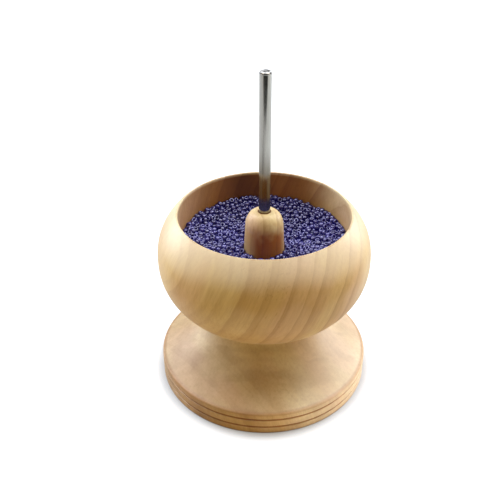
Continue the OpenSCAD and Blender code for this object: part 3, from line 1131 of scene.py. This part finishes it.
def settle_beads(places, axes, held):
    """Beads sink, are levelled, and push apart until they lie close. The first ones are held."""
    (post_r, _), (wall_r, _) = bed_edges()
    free = np.ones(BEAD_COUNT)
    free[:held] = 0
    rounds = SETTLE_ROUNDS
    for step in range(rounds):
        if step % ROUNDS_PER_SEARCH == 0:
            first, second = near_pairs(places)
            give = 1 / np.maximum(free[first] + free[second], 1)
        between_them = places[second] - places[first]
        apart = np.linalg.norm(between_them, axis=1) + 1e-9
        towards = between_them / apart[:, None]
        contact = bead_half(axes[first], towards) + bead_half(axes[second], towards)
        push = (np.maximum(contact - apart, 0) * give * PUSH)[:, None] * towards
        np.add.at(places, first, -push * free[first][:, None])
        np.add.at(places, second, push * free[second][:, None])
        if step < rounds * SINKING_SHARE:
            places[held:, 2] -= SINK_STEP
        radius = np.hypot(places[:, 0], places[:, 1])
        level = bed_height(radius[held:])
        places[held:, 2] = np.clip(places[held:, 2], level - BED_DEPTH, level + LEVELLED)
        outward = np.stack([places[:, 0], places[:, 1], np.zeros(BEAD_COUNT)], axis=1)
        half = bead_half(axes, outward / radius[:, None])
        kept = np.clip(radius, post_r + half, wall_r - half)
        places[held:, :2] *= (kept / radius)[held:, None]


def bead_piece(name, places, turns, sizes, shades):
    """One piece of beads, from what each bead's point says."""
    piece = new_piece(name, [tuple(place) for place in places * MM])
    for label, kind, field, values in (
        ("turn", "FLOAT_VECTOR", "vector", turns.ravel()),
        ("size", "FLOAT", "value", sizes),
        ("shade", "FLOAT", "value", shades),
    ):
        piece.data.attributes.new(label, kind, "POINT").data.foreach_set(field, values)
    grow(piece, BEADS, {"Finish": BEAD_GLASS})
    return piece


def make_beads():
    """The beads that show, as one piece for the top ones and one for those under them."""
    rng = np.random.default_rng(BEAD_SEED)
    places, tilt, heading = pour_beads(rng)
    axes = np.stack(
        [np.sin(tilt) * np.cos(heading), np.sin(tilt) * np.sin(heading), np.cos(tilt)], axis=1,
    )
    settle_beads(places, axes, held=len(upper_beads()[0]))
    turns = np.stack([np.zeros(BEAD_COUNT), tilt, heading], axis=1)
    sizes = rng.normal(1.0, BEAD_SIZE_SPREAD, BEAD_COUNT)
    shades = rng.uniform(0, 1, BEAD_COUNT)
    under = bed_height(np.hypot(places[:, 0], places[:, 1])) - places[:, 2]
    for name, shown in (
        ("seed_beads_top", under < TOP_LAYER),
        ("seed_beads_under", (under >= TOP_LAYER) & (under < UNDER_LAYER)),
    ):
        piece = bead_piece(name, places[shown], turns[shown], sizes[shown], shades[shown])
        dress(piece, "spinner", "glass_beads", "bead_fill")


# Pieces

def dress(piece, body, slot, *nodes):
    """Puts a piece on its body, in the place of its CAD nodes, which it hides. The slot is not
    used.
    """
    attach(piece, body)
    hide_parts(*nodes)


def repaint(node, material):
    """Gives a carried-over CAD node its finish."""
    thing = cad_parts[node]
    thing.data.materials.clear()
    thing.data.materials.append(material)


LATHE = lathe_tree()
BEADS = bead_tree()

BOWL_WOOD = make_wood(
    "bowl_wood", heading=10, tip=21.8, rings=BOWL_RINGS, tints=BOWL_TINTS,
    flecks=0.3, lines=0.22, tone=tone_bowl,
)
BASE_WOOD = make_wood(
    "base_wood", heading=40, tip=-16.7, rings=BASE_RINGS, tints=BASE_TINTS,
    flecks=0.1, lines=0.12, tone=tone_base,
)
POST_WOOD = make_wood(
    "post_wood", heading=20, tip=4, rings=POST_RINGS, tints=POST_TINTS,
    flecks=0.0, lines=0.22, tone=tone_post,
)
BEAD_GLASS = make_bead_glass()

base = turned_piece("turned_base", base_outline(), BASE_WOOD)
dress(base, "stand", "turned_wood", "base")
bowl = turned_piece("turned_bowl", bowl_outline(), BOWL_WOOD)
dress(bowl, "spinner", "turned_wood", "bowl")
post = turned_piece("turned_post", post_outline(), POST_WOOD, steps=128)
dress(post, "spinner", "post_wood", "hub_post")
spindle = turned_piece("ground_spindle", spindle_outline(), make_steel(), steps=64)
dress(spindle, "spinner", "spindle_steel", "spindle")
repaint("bearing_cup", make_brass())
repaint("pivot_ball", make_ball_steel())
make_beads()
bed = turned_piece("bead_bed", bed_outline(), make_deep_beads(), steps=96)
dress(bed, "spinner", "glass_beads", "bead_fill")


# Floor, lights and camera

def make_floor():
    """A floor that looks white with the object's shadow, and throws a warm light back."""
    half = FLOOR_HALF_W
    corners = [(-half, -half, 0), (half, -half, 0), (half, half, 0), (-half, half, 0)]
    floor = new_piece("floor", corners, [(0, 1, 2, 3)])
    material, tree, shader = new_material("floor")
    seen_by = add(tree, "ShaderNodeLightPath").outputs
    x, y, _ = split(tree, in_mm(tree))
    shown = mix(
        tree, zone_share(tree, x, FLOOR_IN_STEEL_ZONE), FLOOR_IN_STEEL_LEFT, FLOOR_IN_STEEL_RIGHT,
    )
    warm = mix(tree, zone_share(tree, x, FLOOR_WARM_ZONE), FLOOR_WARM_LEFT, FLOOR_WARM_RIGHT)
    colour = mix(tree, seen_by["Is Glossy Ray"], FLOOR_WHITE, shown)
    colour = mix(tree, seen_by["Is Diffuse Ray"], colour, warm)
    open_sky = add(
        tree, "ShaderNodeAmbientOcclusion", {"Distance": CONTACT_SHADOW_W * MM}, samples=16,
    )
    far = zone_share(tree, distance_out(tree, x, y), FLOOR_FAR)
    glow = times(tree, seen_by["Is Camera Ray"], at_least(tree, far, FLOOR_GLOW))
    glow = times(tree, glow, calc(tree, "POWER", open_sky.outputs["AO"], 2.0))
    feed(tree, shader, {
        "Base Color": colour,
        "Roughness": 0.9,
        "Specular IOR Level": 0.0,
        "Emission Color": WHITE,
        "Emission Strength": glow,
    })
    floor.data.materials.append(material)


def make_world():
    """White to the camera, and in the steel a room that is darker towards the camera."""
    world = bpy.data.worlds.new("studio")
    bpy.context.scene.world = world
    world.use_nodes = True
    tree = world.node_tree
    tree.nodes.clear()
    direction = add(tree, "ShaderNodeTexCoord").outputs["Generated"]
    _, forward, up = split(tree, direction)
    back = calc(tree, "MULTIPLY_ADD", forward, 0.5, 0.5)
    bright = calc(tree, "MAXIMUM", back, zone_share(tree, up, ROOM_HIGH))
    seen_by = add(tree, "ShaderNodeLightPath").outputs
    colour = mix(tree, seen_by["Is Glossy Ray"], BLACK, ramp(tree, bright, *ROOM_IN_STEEL))
    colour = mix(tree, seen_by["Is Transmission Ray"], colour, WHITE)
    colour = mix(tree, seen_by["Is Camera Ray"], colour, WHITE)
    light = add(tree, "ShaderNodeBackground", {"Color": colour, "Strength": 1.0})
    out = add(tree, "ShaderNodeOutputWorld")
    tree.links.new(light.outputs[0], out.inputs[0])


def dark_card(name, corners):
    """A dark card that only the steel and the beads see, as a dark streak."""
    card = new_piece(name, corners, [(3, 2, 1, 0)])
    material, tree, shader = new_material(name)
    feed(tree, shader, {"Base Color": CARD_TINT, "Roughness": 1.0})
    card.data.materials.append(material)
    card.visible_camera = False
    card.visible_diffuse = False
    card.visible_shadow = False
    card.visible_transmission = False


def make_cards():
    """One card stands behind the camera, and a narrow one lies on the floor to its left."""
    wide, back, high = FRONT_CARD_HALF_W, FRONT_CARD_Y, FRONT_CARD_H
    dark_card(
        "front_card", [(-wide, back, 0), (wide, back, 0), (wide, back, high), (-wide, back, high)],
    )
    turn = math.radians(FLOOR_CARD_BEARING)
    out = Vector((math.sin(turn), -math.cos(turn), 0))
    side = Vector((-out.y, out.x, 0)) * FLOOR_CARD_HALF_W
    lift = Vector((0, 0, FLOOR_CARD_LIFT))
    near, far = out * FLOOR_CARD_NEAR + lift, out * FLOOR_CARD_FAR + lift
    dark_card("floor_card", [near - side, near + side, far + side, far - side])


def softbox(name, place, aim, width, depth, watts, colour):
    """A flat light that looks at a point of the object."""
    lamp = bpy.data.lights.new(name, "AREA")
    lamp.shape = "RECTANGLE"
    lamp.size = width
    lamp.size_y = depth
    lamp.energy = watts
    lamp.color = colour
    thing = bpy.data.objects.new(name, lamp)
    bpy.context.scene.collection.objects.link(thing)
    thing.location = place
    towards = Vector(aim) - Vector(place)
    thing.rotation_euler = towards.to_track_quat("-Z", "Y").to_euler()
    return thing


def light_from(name, bearing, height, watts, colour):
    """A softbox at a bearing and a height above level."""
    turn, climb = math.radians(bearing), math.radians(height)
    place = (
        LAMP_DISTANCE * math.sin(turn) * math.cos(climb),
        -LAMP_DISTANCE * math.cos(turn) * math.cos(climb),
        LAMP_PIVOT_Z + LAMP_DISTANCE * math.sin(climb),
    )
    return softbox(name, place, LAMP_AIM, LAMP_W, LAMP_W, watts, colour)


def keep_off_rod(lamp):
    """The rod doesn't mirror this lamp, so its edges don't burn out to white."""
    unlit = bpy.data.collections.new(lamp.name + "_keeps_off")
    unlit.objects.link(spindle)
    unlit.collection_objects[0].light_linking.link_state = "EXCLUDE"
    lamp.light_linking.receiver_collection = unlit


def make_lamps():
    """Softboxes round the object, and a low narrow light on the right side of its foot."""
    for name, bearing, height, watts, colour in LAMPS:
        lamp = light_from(name, bearing, height, watts, colour)
        if name in OFF_THE_ROD:
            keep_off_rod(lamp)
    foot_lamp = softbox(
        "foot_lamp", FOOT_LAMP_PLACE, FOOT_LAMP_AIM, FOOT_LAMP_W, FOOT_LAMP_H,
        FOOT_LAMP_WATTS, COOL_BACK,
    )
    foot_lamp.data.spread = math.radians(FOOT_LAMP_SPREAD)


def make_camera():
    camera = bpy.data.cameras.new("camera")
    camera.lens = CAMERA_LENS
    camera.sensor_width = CAMERA_SENSOR_W
    camera.shift_x, camera.shift_y = CAMERA_SHIFT
    camera.clip_start = 0.01
    camera.clip_end = 20
    thing = bpy.data.objects.new("camera", camera)
    bpy.context.scene.collection.objects.link(thing)
    thing.location = [value * MM for value in CAMERA_PLACE]
    thing.rotation_euler = (math.radians(90 - CAMERA_DOWN), 0, 0)
    bpy.context.scene.camera = thing


make_floor()
make_world()
make_cards()
make_lamps()
make_camera()
bpy.context.scene.view_settings.view_transform = "Standard"
